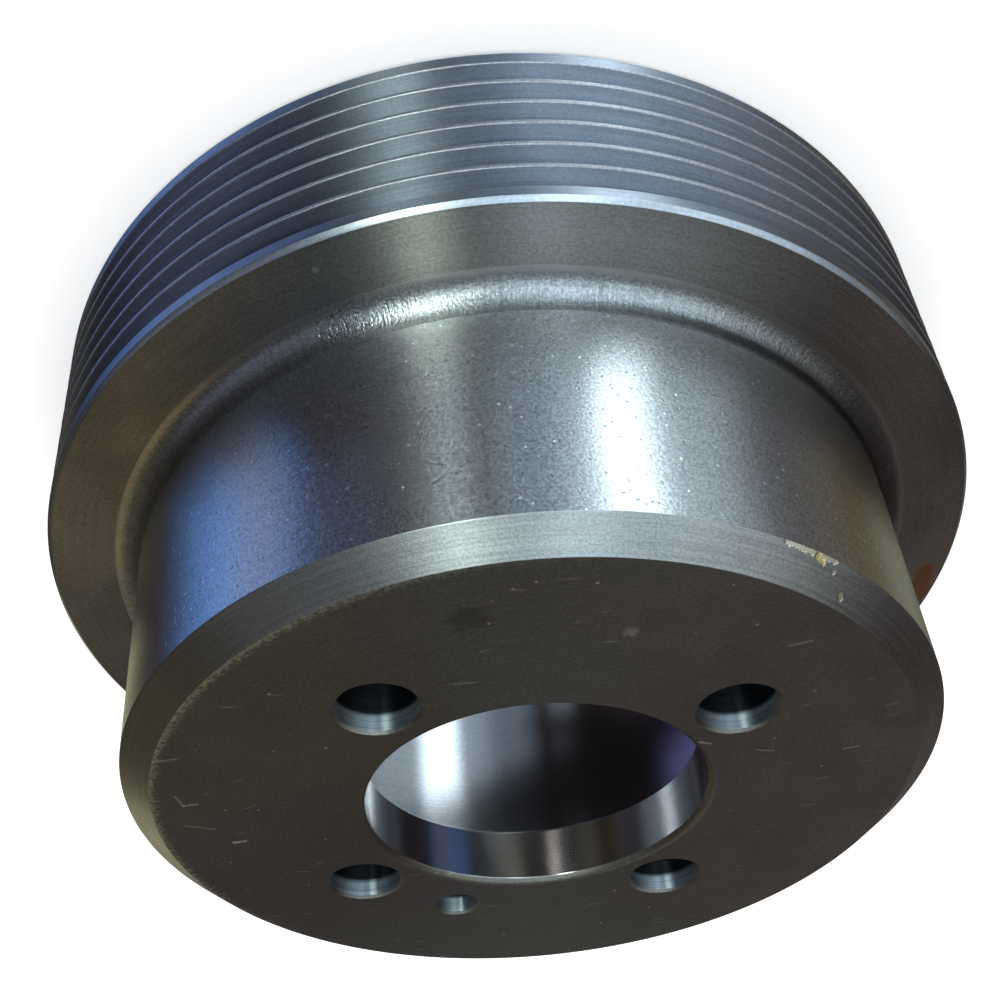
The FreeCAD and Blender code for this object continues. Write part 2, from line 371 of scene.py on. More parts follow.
    def build_scratches(self) -> None:
        """Short thin scratches that all lie one way."""
        inputs = {"Turn": 0.0, "Length": 4.0, "Width": 0.25, "Size": 0.3, "Share": 0.3}
        bench = self.open_group(GroupKind.SCRATCHES, inputs)
        point = self.place(bench, GroupKind.PLACE).outputs["Point"]
        bend = bench.noise(bench.scaled(point, self.SCRATCH_BEND_SCALE))
        turn = bench.maths("MULTIPLY_ADD", bend, self.SCRATCH_BEND, bench.start["Turn"])
        turned = bench.add("ShaderNodeVectorRotate", {"Vector": point, "Angle": turn}, rotation_type="Z_AXIS")
        along = bench.maths("DIVIDE", 1.0, bench.start["Length"])
        across = bench.maths("DIVIDE", 1.0, bench.start["Width"])
        squeeze = bench.joined(X=along, Y=across, Z=along)
        self.finish_dots(bench, bench.vector("MULTIPLY", turned.outputs[0], squeeze))

    def build_spot(self) -> None:
        """One ragged patch along a line from one place to another."""
        inputs = {"Place": (0.0, 0.0, 0.0), "End": (0.0, 0.0, 0.0), "Radius": 2.0, "Ragged": 0.4, "Cell": 0.6}
        bench = self.open_group(GroupKind.SPOT, inputs)
        start = bench.start
        line = bench.vector("SUBTRACT", start["End"], start["Place"])
        point = self.place(bench, GroupKind.PLACE).outputs["Point"]
        offset = bench.vector("SUBTRACT", point, start["Place"])
        along = bench.measure("DOT_PRODUCT", offset, line)
        square = bench.measure("DOT_PRODUCT", line, line)
        share = bench.maths("DIVIDE", along, bench.maths("MAXIMUM", square, self.SHORTEST_LINE))
        share = bench.maths("MINIMUM", bench.maths("MAXIMUM", share, 0.0), 1.0)
        away = bench.measure("DISTANCE", offset, bench.scaled(line, share))
        reach = bench.maths("DIVIDE", away, start["Radius"])
        ragged = bench.noise(self.cells(bench, start["Cell"]), detail=2.0, roughness=0.65)
        spread = bench.maths("MULTIPLY_ADD", ragged, start["Ragged"], reach)
        bench.give("Mask", bench.ramp(spread, *self.SPOT_EDGE, 1.0, 0.0))

    def build_ring(self) -> None:
        """A ragged band round the axis that fades away from one side of the part."""
        inputs = {"Radius": 40.0, "Height": 50.0, "Width": 1.0, "Ragged": 1.6, "Cell": 0.4,
                  "Toward": (1.0, 0.0, 0.0), "Fade": 0.5}
        bench = self.open_group(GroupKind.RING, inputs)
        where = self.place(bench, GroupKind.PLACE).outputs
        start = bench.start
        here = bench.joined(X=where["Radius"], Z=where["Height"])
        middle = bench.joined(X=start["Radius"], Z=start["Height"])
        away = bench.measure("DISTANCE", here, middle)
        reach = bench.maths("DIVIDE", away, start["Width"])
        ragged = bench.noise(self.cells(bench, start["Cell"]), detail=3.0, roughness=0.7)
        reach = bench.maths("MULTIPLY_ADD", ragged, start["Ragged"], reach)
        side = bench.measure("DOT_PRODUCT", where["Around"], start["Toward"])
        facing = bench.ramp(side, start["Fade"], 1.0)
        near = bench.ramp(reach, *self.RING_EDGE, 1.0, 0.0)
        bench.give("Mask", bench.maths("MULTIPLY", near, facing))


@dataclass
class Surface:
    """A finish in the making: its bench, the shared groups, and its colour, roughness and height so far."""

    bench: NodeBench
    groups: SurfaceGroups
    colour: Socket
    roughness: Socket
    height: Socket

    def mask(self, kind: GroupKind, **values: object) -> Socket:
        """The mask of a shared group with values of its own."""
        return self.groups.place(self.bench, kind, **values).outputs[0]

    def tint(self, share: object, colour: object, way: str = "MIX") -> None:
        """Mix a colour in."""
        self.colour = self.bench.blend(share, self.colour, colour, way)

    def shade(self, share: float, mask: Socket) -> None:
        """Darken the colour by a share of a mask."""
        self.tint(share, self.bench.tone(mask), "MULTIPLY")

    def lift(self, mask: Socket, height: float) -> None:
        """Raise the surface under a mask, or sink it where the height is below nought."""
        self.height = self.bench.maths("MULTIPLY_ADD", mask, height, self.height)


@dataclass(frozen=True)
class Spot:
    """A stain, a nick or a rubbed place, round or drawn out to an end. Lengths are in millimetres."""

    place: tuple[float, float, float]
    radius: float
    colour: Colour
    end: tuple[float, float, float] | None = None
    strength: float = 1.0
    ragged: float = 0.5
    cell: float = 0.6
    roughness: float = 0.0
    depth: float = 0.0

    def add_to(self, surface: Surface) -> None:
        """Add the spot.

        Args:
            surface: the finish so far.
        """
        mask = surface.mask(GroupKind.SPOT, place=self.place, end=self.end or self.place, radius=self.radius,
                            ragged=self.ragged, cell=self.cell)
        mask = surface.bench.maths("MULTIPLY", mask, self.strength)
        surface.tint(mask, self.colour)
        surface.roughness = surface.bench.maths("MULTIPLY_ADD", mask, self.roughness, surface.roughness)
        surface.lift(mask, -self.depth)


@dataclass(frozen=True)
class WearAndPaintedLightRing:
    """A ragged ring round the part. Some are rubbed edges and dirty lines; some are painted shade in the
    fillet's crease, and one is a painted highlight on the bore's lip. Lengths are in millimetres, angles in
    degrees.
    """

    radius: float
    height: float
    width: float
    azimuth: float
    half_spread: float
    colour: Colour
    strength: float = 1.0
    cell: float = 0.35
    ragged: float = 1.6

    def add_to(self, surface: Surface) -> None:
        """Add the ring.

        Args:
            surface: the finish so far.
        """
        turn = math.radians(self.azimuth)
        toward = (math.cos(turn), math.sin(turn), 0.0)
        fade = math.cos(math.radians(self.half_spread))
        mask = surface.mask(GroupKind.RING, radius=self.radius, height=self.height, width=self.width,
                            ragged=self.ragged, cell=self.cell, toward=toward, fade=fade)
        surface.tint(surface.bench.maths("MULTIPLY", mask, self.strength), self.colour)


@dataclass(frozen=True)
class Scratches:
    """One lot of scratches that lie the same way. Lengths are in millimetres, the turn in degrees."""

    turn: float
    length: float
    width: float
    share: float
    strength: float
    colour: Colour = (0.6, 0.6, 0.58)

    def add_to(self, surface: Surface) -> None:
        """Add the scratches.

        Args:
            surface: the finish so far.
        """
        marks = surface.mask(GroupKind.SCRATCHES, turn=math.radians(self.turn), length=self.length,
                             width=self.width, share=self.share)
        surface.tint(surface.bench.maths("MULTIPLY", marks, self.strength), self.colour)


@dataclass(frozen=True)
class TurnedFinish:
    """The finish of one stretch of turned steel. Lengths and depths are in millimetres."""

    name: str
    colour: Colour
    second_colour: Colour
    roughness: float
    anisotropic: float = 0.0
    line_pitch: float = 0.2
    line_wander: float = 2.0
    line_depth: float = 0.0
    line_tone: float = 0.2
    line_slope: float = 1.7
    chatter_wander: float = 0.0
    chatter_pitch: float = 2.0
    chatter_depth: float = 0.0
    chatter_tone: float = 0.0
    grain_size: float = 0.3
    grain_depth: float = 0.0
    grain_tone: float = 0.1
    pit_spacing: float = 1.2
    pit_size: float = 0.3
    pit_share: float = 0.0
    pit_depth: float = 0.0
    pit_tone: float = 1.0
    pit_colour: Colour = (0.05, 0.05, 0.05)
    spark_spacing: float = 0.8
    spark_size: float = 0.25
    spark_share: float = 0.0
    spark_height: float = 0.0
    spark_colour: Colour = (0.9, 0.9, 0.88)
    patch_size: float = 14.0
    patch_roughness: float = 0.06
    scratches: tuple[Scratches, ...] = ()
    spots: tuple[Spot, ...] = ()
    rings: tuple[WearAndPaintedLightRing, ...] = ()
    painted_shade_top: float = 0.0
    painted_shade_tone: float = 0.1

    RADIAL_TURN = 0.25
    PAINTED_SHADE_EDGE = 0.35
    PATCH_STEP = (0.35, 0.65)

    def material(self, groups: SurfaceGroups) -> bpy.types.Material:
        """Build the material.

        Args:
            groups: the shared node groups.

        Returns:
            The new material.
        """
        material, bench = new_material(self.name)
        surface = self.turned_surface(bench, groups)
        if self.chatter_wander:
            self.add_chatter(surface)
        if self.pit_share:
            self.add_pits(surface)
        if self.spark_share:
            self.add_sparks(surface)
        if self.painted_shade_top:
            self.paint_shade_below(surface)
        for mark in (*self.scratches, *self.rings, *self.spots):
            mark.add_to(surface)
        self.add_shader(surface)
        return material

    def turned_surface(self, bench: NodeBench, groups: SurfaceGroups) -> Surface:
        """The plain surface with its broad patches, its turning lines and its grain.

        Args:
            bench: the material's bench.
            groups: the shared node groups.

        Returns:
            The finish so far.
        """
        where = groups.place(bench, GroupKind.PLACE)
        cells = bench.scaled(where.outputs["Point"], 1 / self.patch_size)
        patches = bench.ramp(bench.noise(cells, detail=4.0, roughness=0.6), *self.PATCH_STEP)
        colour = bench.blend(patches, self.colour, self.second_colour)
        roughness = bench.maths("MULTIPLY_ADD", patches, self.patch_roughness, self.roughness)
        lines = groups.place(bench, GroupKind.TURNING, pitch=self.line_pitch, wander=self.line_wander,
                             slope=self.line_slope).outputs[0]
        surface = Surface(bench, groups, colour, roughness, bench.maths("MULTIPLY", lines, self.line_depth))
        surface.shade(self.line_tone, lines)
        grain = surface.mask(GroupKind.GRAIN, size=self.grain_size)
        surface.shade(self.grain_tone, grain)
        surface.lift(grain, self.grain_depth)
        return surface

    def add_chatter(self, surface: Surface) -> None:
        """Add fine marks across the turning lines.

        Args:
            surface: the finish so far.
        """
        marks = surface.mask(GroupKind.TURNING, pitch=self.chatter_pitch, wander=self.chatter_wander)
        surface.shade(self.chatter_tone, marks)
        surface.lift(marks, self.chatter_depth)

    def add_pits(self, surface: Surface) -> None:
        """Add small dents.

        Args:
            surface: the finish so far.
        """
        pits = surface.mask(GroupKind.PITS, spacing=self.pit_spacing, size=self.pit_size,
                            share=self.pit_share)
        surface.tint(surface.bench.maths("MULTIPLY", pits, self.pit_tone), self.pit_colour)
        surface.lift(pits, -self.pit_depth)

    def add_sparks(self, surface: Surface) -> None:
        """Add small bright points.

        Args:
            surface: the finish so far.
        """
        sparks = surface.mask(GroupKind.PITS, spacing=self.spark_spacing, size=self.spark_size,
                              share=self.spark_share)
        surface.tint(sparks, self.spark_colour)
        surface.lift(sparks, self.spark_height)

    def paint_shade_below(self, surface: Surface) -> None:
        """Paint shade: darken what lies deeper than a given height, as the shade deep in a hole.

        Args:
            surface: the finish so far.
        """
        height = surface.groups.place(surface.bench, GroupKind.PLACE).outputs["Height"]
        low, high = self.painted_shade_top - self.PAINTED_SHADE_EDGE, self.painted_shade_top + self.PAINTED_SHADE_EDGE
        surface.shade(1.0, surface.bench.ramp(height, low, high, self.painted_shade_tone, 1.0))

    def add_shader(self, surface: Surface) -> None:
        """Feed the gathered surface into the steel's shader.

        Args:
            surface: the finish so far.
        """
        bench = surface.bench
        bump = bench.add("ShaderNodeBump", {"Height": surface.height, "Distance": MM, "Strength": 1.0})
        tangent = bench.add("ShaderNodeTangent", direction_type="RADIAL", axis="Z")
        steel = bench.add("ShaderNodeBsdfPrincipled", {
            "Base Color": surface.colour, "Metallic": 1.0, "Roughness": surface.roughness,
            "Normal": bump.outputs[0], "Anisotropic": self.anisotropic,
            "Anisotropic Rotation": self.RADIAL_TURN, "Tangent": tangent.outputs[0]})
        bench.finish(steel)


@dataclass(frozen=True)
class PulleySizes:
    """Sizes of the part, in millimetres and degrees."""

    rim_radius: float = RIM_RADIUS
    total_height: float = FACE_HEIGHT
    shoulder_height: float = 10.5
    rib_pitch: float = 3.56
    groove_count: int = 6
    groove_angle: float = 40.0
    tip_land: float = 0.5
    groove_depth: float = 3.3
    back_land: float = 1.85
    front_land: float = 1.6
    rim_edge_chamfer: float = 0.5
    shoulder_fillet: float = 3.0
    bevel_width: float = 3.2
    bevel_depth: float = 2.5
    plate_thickness: float = 7.0
    hub_wall: float = 6.0
    rim_wall: float = 8.0
    web_thickness: float = 9.4
    mouth_chamfer: float = 1.0
    step_chamfer: float = 0.5
    pilot_radius: float = 19.05
    pilot_chamfer: float = 0.5
    pilot_back_chamfer: float = 0.3
    bolt_circle: float = 52.0
    bolt_count: int = 4
    bolt_radius: float = 4.25
    bolt_angle: float = 45.0
    dowel_radius: float = 2.5
    dowel_angle: float = 255.0
    hole_chamfer: float = 0.3
    crest_rounding: float = 0.18
    root_rounding: float = 0.3
    inner_rounding: float = 0.4

    @property
    def rim_width(self) -> float:
        """Height of the shoulder above the floor."""
        return self.back_land + self.rib_pitch * self.groove_count + self.front_land

    @property
    def hub_radius(self) -> float:
        """Radius of the hub's wall."""
        return self.rim_radius - self.shoulder_height

    @property
    def cavity_floor(self) -> float:
        """Height of the mounting plate's back."""
        return self.total_height - self.plate_thickness


@dataclass(frozen=True)
class Corner:
    """A corner of the turned section, with its rounding. Lengths are in millimetres.

    The zone is the finish of the edge after it, and of its rounding too where that has none of its own.
    """

    radius: float
    height: float
    zone: Zone
    rounding: float = 0.12
    steps: int = 2
    round_zone: Zone | None = None


@dataclass
class Section:
    """The closed section of the part, from the rim's back round the outside to the cavity's mouth."""

    sizes: PulleySizes
    crest_steps: int = 4
    root_steps: int = 3
    fillet_steps: int = 12
    front_steps: int = 3
    inner_steps: int = 4

    def corners(self) -> list[Corner]:
        """List the corners in order.

        Returns:
            The section's corners.
        """
        s = self.sizes
        cavity = s.hub_radius - s.hub_wall
        counterbore = s.rim_radius - s.rim_wall
        step = s.rim_width - s.web_thickness
        chamfer = s.rim_edge_chamfer
        inner = (s.inner_rounding, self.inner_steps)
        return [
            Corner(counterbore + s.mouth_chamfer, 0, Zone.RIM_BACK),
            Corner(s.rim_radius - chamfer, 0, Zone.RIM_EDGE),
            Corner(s.rim_radius, chamfer, Zone.RIM),
            *self.groove_corners(),
            Corner(s.rim_radius, s.rim_width - chamfer, Zone.RIM_EDGE),
            Corner(s.rim_radius - chamfer, s.rim_width, Zone.SHOULDER),
            Corner(s.hub_radius, s.rim_width, Zone.HUB, s.shoulder_fillet, self.fillet_steps, Zone.FILLET),
            Corner(s.hub_radius, s.total_height - s.bevel_depth, Zone.BEVEL, steps=self.front_steps),
            Corner(s.hub_radius - s.bevel_width, s.total_height, Zone.FACE, steps=self.front_steps),
            Corner(s.pilot_radius + s.pilot_chamfer, s.total_height, Zone.FACE),
            Corner(s.pilot_radius, s.total_height - s.pilot_chamfer, Zone.BORE),
            Corner(s.pilot_radius, s.cavity_floor + s.pilot_back_chamfer, Zone.BORE),
            Corner(s.pilot_radius + s.pilot_back_chamfer, s.cavity_floor, Zone.CAVITY),
            Corner(cavity, s.cavity_floor, Zone.CAVITY, *inner),
            Corner(cavity, step + s.step_chamfer, Zone.CAVITY),
            Corner(cavity + s.step_chamfer, step, Zone.COUNTERBORE),
            Corner(counterbore, step, Zone.COUNTERBORE, *inner),
            Corner(counterbore, s.mouth_chamfer, Zone.RIM_BACK),
        ]

    def groove_corners(self) -> Iterator[Corner]:
        """The four corners of each belt groove, from the back to the front.

        Yields:
            Each corner.
        """
        s = self.sizes
        half_mouth = (s.rib_pitch - s.tip_land) / 2
        half_root = half_mouth - s.groove_depth * math.tan(math.radians(s.groove_angle / 2))
        root_radius = s.rim_radius - s.groove_depth
        crest = (s.crest_rounding, self.crest_steps, Zone.CREST)
        root = (s.root_rounding, self.root_steps)
        for number in range(s.groove_count):
            centre = s.back_land + s.rib_pitch * (number + 0.5)
            after = Zone.CREST if number + 1 < s.groove_count else Zone.RIM
            yield Corner(s.rim_radius, centre - half_mouth, Zone.RIM, *crest)
            yield Corner(root_radius, centre - half_root, Zone.RIM, *root)
            yield Corner(root_radius, centre + half_root, Zone.RIM, *root)
            yield Corner(s.rim_radius, centre + half_mouth, after, *crest)

    def points(self) -> list[tuple[float, float, Zone]]:
        """Round the corners off.

        Returns:
            Radius, height and the finish of the edge that follows, for each point.
        """
        listed = self.corners()
        found = []
        for index, corner in enumerate(listed):
            here = Vector((corner.radius, corner.height))
            before = Vector((listed[index - 1].radius, listed[index - 1].height))
            after_corner = listed[(index + 1) % len(listed)]
            after = Vector((after_corner.radius, after_corner.height))
            arc = self.arc(before, here, after, corner.rounding, corner.steps)
            found += [(spot.x, spot.y, corner.round_zone or corner.zone) for spot in arc[:-1]]
            found.append((arc[-1].x, arc[-1].y, corner.zone))
        return found

    @staticmethod
    def arc(before: Vector, here: Vector, after: Vector, rounding: float, steps: int) -> list[Vector]:
        """Points of the arc that rounds a corner off.

        Args:
            before: the corner before.
            here: the corner that is rounded.
            after: the corner after.
            rounding: the arc's radius.
            steps: the number of chords.

        Returns:
            The arc's points, from the edge before to the edge after.
        """
        back = (before - here).normalized()
        ahead = (after - here).normalized()
        half = back.angle(ahead) / 2
        middle = here + (back + ahead).normalized() * (rounding / math.sin(half))
        start = here + back * (rounding / math.tan(half)) - middle
        end = here + ahead * (rounding / math.tan(half)) - middle
        sweep = start.angle_signed(end)
        points = []
        for number in range(steps + 1):
            points.append(middle + Matrix.Rotation(-sweep * number / steps, 2) @ start)
        return points


@dataclass
class TurnedBody:
    """The steel body: a fine turned surface with the drilled holes."""

    sizes: PulleySizes
    ring_steps: int = 480
    hole_steps: int = 72
    smooth_angle: float = 38.0
    level_gap: float = 1e-6
    plates: dict[float, list] = field(default_factory=dict)

    def build(self, finishes: dict[Zone, TurnedFinish], groups: SurfaceGroups) -> bpy.types.Object:
        """Make the body in place of the plain one.

        Args:
            finishes: the finish of each stretch.
            groups: the shared node groups.

        Returns:
            The new object.
        """
        zones = list(Zone)
        mesh = bpy.data.meshes.new("turned_body")
        bm = bmesh.new()
        self.turn(bm, zones)
        self.drill(bm, zones)
        bmesh.ops.recalc_face_normals(bm, faces=bm.faces)
        for face in bm.faces:
            face.smooth = True
        bm.to_mesh(mesh)
        bm.free()
        mesh.set_sharp_from_angle(angle=math.radians(self.smooth_angle))
        body = bpy.data.objects.new("turned_body", mesh)
        bpy.context.scene.collection.objects.link(body)
        for zone in zones:
            mesh.materials.append(finishes[zone].material(groups))
        weigh = body.modifiers.new("even_shading", "WEIGHTED_NORMAL")
        weigh.keep_sharp = True
        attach(body, "root")
        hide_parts("pulley")
        return body

    def turn(self, bm: bmesh.types.BMesh, zones: list[Zone]) -> None:
        """Turn the section round the axis, and keep the plate's two faces for the holes.

        Args:
            bm: the mesh.
            zones: the finishes in the order of their slots.
        """
        points = Section(self.sizes).points()
        rings = [self.ring(bm, radius, height) for radius, height, _ in points]
        for index, (radius, height, zone) in enumerate(points):
            following = (index + 1) % len(points)
            level = abs(points[following][1] - height) < self.level_gap
            if level and self.holds_holes(radius, points[following][0], height):
                self.plates[height] = [rings[index], rings[following], zone]
            else:
                self.bridge(bm, rings[index], rings[following], zones.index(zone))

    def holds_holes(self, first: float, second: float, height: float) -> bool:
        """Whether a level ring of the section is one of the mounting plate's two faces."""
        reach = self.sizes.bolt_circle / 2
        return min(first, second) < reach < max(first, second) and height > self.sizes.rim_width

    def ring(self, bm: bmesh.types.BMesh, radius: float, height: float,
             centre: tuple[float, float] = (0.0, 0.0), steps: int = 0) -> list[bmesh.types.BMVert]:
        """A ring of points round an upright axis.

        Args:
            bm: the mesh.
            radius: the ring's radius in millimetres.
            height: its height in millimetres.
            centre: its axis, in millimetres.
            steps: how many points, or none for the body's own number.

        Returns:
            The ring's points.
        """
        steps = steps or self.ring_steps
        found = []
        for number in range(steps):
            turn = math.tau * number / steps
            x = centre[0] + radius * math.cos(turn)
            y = centre[1] + radius * math.sin(turn)
            found.append(bm.verts.new((x * MM, y * MM, height * MM)))
        return found

    @staticmethod
    def bridge(bm: bmesh.types.BMesh, first: list, second: list, slot: int) -> None:
        """Join two rings of as many points with faces of one finish.

        Args:
            bm: the mesh.
            first: the points of one ring.
            second: the points of the other.
            slot: the finish's slot.
        """
        count = len(first)
        for number in range(count):
            following = (number + 1) % count
            corners = (first[number], first[following], second[following], second[number])
            bm.faces.new(corners).material_index = slot

    def drill(self, bm: bmesh.types.BMesh, zones: list[Zone]) -> None:
        """Line the holes, and fill the plate's two faces round them.

        Args:
            bm: the mesh.
            zones: the finishes in the order of their slots.
        """
        s = self.sizes
        reach = s.bolt_circle / 2
        places = [(s.bolt_angle + 360 / s.bolt_count * n, s.bolt_radius) for n in range(s.bolt_count)]
        places.append((s.dowel_angle, s.dowel_radius))
        front, back = [], []
        for angle, radius in places:
            turn = math.radians(angle)
            centre = (reach * math.cos(turn), reach * math.sin(turn))
            levels = ((radius + s.hole_chamfer, s.total_height), (radius, s.total_height - s.hole_chamfer),
                      (radius, s.cavity_floor))
            mouth, neck, end = [self.ring(bm, *level, centre, self.hole_steps) for level in levels]
            self.bridge(bm, mouth, neck, zones.index(Zone.FACE))
            self.bridge(bm, neck, end, zones.index(Zone.HOLE))
            front.append(mouth)
            back.append(end)
        for height, (outer, inner, zone) in self.plates.items():
            holes = front if height > s.total_height - s.plate_thickness / 2 else back
            self.fill(bm, [outer, inner, *holes], zones.index(zone))

    @staticmethod
    def fill(bm: bmesh.types.BMesh, loops: list, slot: int) -> None:
        """Fill a level face between its loops.

        Args:
            bm: the mesh.
            loops: the points of each loop.
            slot: the finish's slot.
        """
        edges = []
        for loop in loops:
            for index, point in enumerate(loop):
                ends = (loop[index - 1], point)
                edges.append(bm.edges.get(ends) or bm.edges.new(ends))
        made = bmesh.ops.triangle_fill(bm, use_beauty=True, use_dissolve=False, edges=edges)
        for item in made["geom"]:
            if isinstance(item, bmesh.types.BMFace):
                item.material_index = slot


@dataclass(frozen=True)
class SoftCard:
    """A soft light card that only the steel mirrors: its direction, its spread, its soft edge and its colour.

    Angles are in degrees. The card is full within the core on both sides of its azimuth, and fades past it.
    """

    name: str
    azimuth: float
    core: float
    fade: float
    low: float
    high: float
    colour: Colour
    strength: float = 1.0
    edge: float = 8.0

    STRAIGHT_DOWN = -90.0
    STRAIGHT_UP = 90.0

    def share(self, bench: NodeBench, compass: Socket, rise: Socket) -> Socket:
        """How much of the card is seen in a direction.

        Args:
            bench: the world's bench.
            compass: the level part of the direction, with length one.
            rise: the sine of the direction's elevation.

        Returns:
            The share, from nought to one.
        """
        high_full, high_end = self.sine(self.high - self.edge), self.sine(self.high + self.edge)
        share = bench.ramp(rise, high_full, high_end, 1.0, 0.0)
        if self.low > self.STRAIGHT_DOWN:
            low_end, low_full = self.sine(self.low - self.edge), self.sine(self.low + self.edge)
            share = bench.maths("MULTIPLY", bench.ramp(rise, low_end, low_full), share)
        turn = math.radians(self.azimuth)
        toward = (math.cos(turn), math.sin(turn), 0.0)
        across = bench.measure("DOT_PRODUCT", compass, toward)
        outer, inner = math.radians(self.core + self.fade), math.radians(self.core)
        return bench.maths("MULTIPLY", share, bench.ramp(across, math.cos(outer), math.cos(inner)))

    def sine(self, degrees: float) -> float:
        """The sine of an elevation, kept inside the sphere."""
        return math.sin(math.radians(max(self.STRAIGHT_DOWN, min(self.STRAIGHT_UP, degrees))))


@dataclass
class Studio:
    """Pale floor and plain soft light. Lengths are in millimetres."""

    cards: tuple[SoftCard, ...]
    surround: Colour = (0.049, 0.038, 0.037)
    pale: Colour = (1.6, 1.6, 1.6)
    paint: Colour = (0.93, 0.93, 0.93)
    disc_steps: int = 64
    floor_radius: float = 3000.0
    floor_gap: float = 0.05
    shade_radius: float = 47.0
    shade_gap: float = 2.0
    shade_colour: Colour = (0.012, 0.009, 0.008)
    first_mirror: float = 1.5
    light_centre: tuple[float, float, float] = (21.0, -12.0, 0.0)
    light_core: float = 26.5
    light_reach: float = 32.5
    veil_centre: tuple[float, float, float] = (-4.5, -3.5, 0.0)
    veil_core: float = 3.0
    veil_reach: float = 8.0
    glow_centre: tuple[float, float, float] = (-44.0, -22.0, 0.0)
    glow_core: float = 21.0
    glow_reach: float = 31.0
    glow_colour: Colour = (0.19, 0.19, 0.42)

    def disc(self, name: str, radius: float, gap: float) -> tuple[bpy.types.Object, NodeBench]:
        """Lay a flat disc under the part.

        Args:
            name: the disc's name.
            radius: its radius in millimetres.
            gap: how far below the part it lies, in millimetres.

        Returns:
            The disc, and the bench on its material's tree.
        """
        mesh = bpy.data.meshes.new(name)
        bm = bmesh.new()
        bmesh.ops.create_circle(bm, cap_ends=True, radius=radius * MM, segments=self.disc_steps)
        bm.to_mesh(mesh)
        bm.free()
        laid = bpy.data.objects.new(name, mesh)
        laid.location.z = -gap * MM
        bpy.context.scene.collection.objects.link(laid)
        material, bench = new_material(name)
        mesh.materials.append(material)
        return laid, bench

    def build_floor(self) -> bpy.types.Object:
        """Lay a wide pale floor under the part, which is clear from below.

        Returns:
            The floor.
        """
        floor, bench = self.disc("pale_floor", self.floor_radius, self.floor_gap)
        paint = bench.add("ShaderNodeBsdfDiffuse", {"Color": self.paint})
        clear = bench.add("ShaderNodeBsdfTransparent")
        below = bench.add("ShaderNodeNewGeometry").outputs["Backfacing"]
        mixed = bench.add("ShaderNodeMixShader", {0: below, 1: paint.outputs[0], 2: clear.outputs[0]})
        bench.finish(mixed)
        floor.visible_glossy = False
        return floor

    def build_shade(self) -> bpy.types.Object:
        """Lay a dark card with a soft round opening under the open back, which only the steel mirrors.

        Returns:
            The card.
        """
        card, bench = self.disc("shade_card", self.shade_radius, self.shade_gap)
        point = bench.scaled(bench.add("ShaderNodeTexCoord").outputs["Object"], 1 / MM)
        away = bench.measure("DISTANCE", point, self.light_centre)
        dark = bench.ramp(away, self.light_core, self.light_reach)
        # Painted shade: a soft dark veil over one spot of the opening.
        away = bench.measure("DISTANCE", point, self.veil_centre)
        dark = bench.maths("MAXIMUM", dark, bench.ramp(away, self.veil_core, self.veil_reach, 1.0, 0.0))
        mirrors = bench.add("ShaderNodeLightPath").outputs["Glossy Depth"]
        dark = bench.maths("MULTIPLY", dark, bench.maths("LESS_THAN", mirrors, self.first_mirror))
        # Painted reflection: a violet glow on one side of the card, seen only in the steel.
        away = bench.measure("DISTANCE", point, self.glow_centre)
        fade = bench.ramp(away, self.glow_core, self.glow_reach)
        tint = bench.blend(fade, self.glow_colour, self.shade_colour)
        glow = bench.add("ShaderNodeEmission", {"Color": tint, "Strength": 1.0})
        clear = bench.add("ShaderNodeBsdfTransparent")
        mixed = bench.add("ShaderNodeMixShader", {0: dark, 1: clear.outputs[0], 2: glow.outputs[0]})
        bench.finish(mixed)
        card.visible_camera = card.visible_diffuse = card.visible_shadow = False
        return card

    def mirrored_room(self, bench: NodeBench) -> Socket:
        """What the steel mirrors: a dark room with soft cards.

        Args:
            bench: the world's bench.

        Returns:
            The room's colour in a direction.
        """
        direction = bench.add("ShaderNodeTexCoord").outputs["Generated"]
        flat = bench.vector("MULTIPLY", direction, (1.0, 1.0, 0.0))
        compass = bench.vector("NORMALIZE", flat)
        rise = bench.measure("DOT_PRODUCT", direction, (0.0, 0.0, 1.0))
        seen = bench.constant(self.surround)
        for card in self.cards:
            share = bench.maths("MULTIPLY", card.share(bench, compass, rise), card.strength)
            seen = bench.vector("ADD", seen, bench.scaled(bench.constant(card.colour), share))
        return seen

    def build_world(self) -> None:
        """Make a pale room whose mirror image in the steel is dark with soft cards."""
        world = bpy.data.worlds.new("soft_studio")
        world.use_nodes = True
        world.cycles.sampling_method = "NONE"
        bpy.context.scene.world = world
        bench = NodeBench(world.node_tree)
        path = bench.add("ShaderNodeLightPath")
        room = bench.blend(path.outputs["Is Glossy Ray"], self.pale, self.mirrored_room(bench))
        background = bench.add("ShaderNodeBackground", {"Color": room, "Strength": 1.0})
        bench.finish(background, "ShaderNodeOutputWorld")


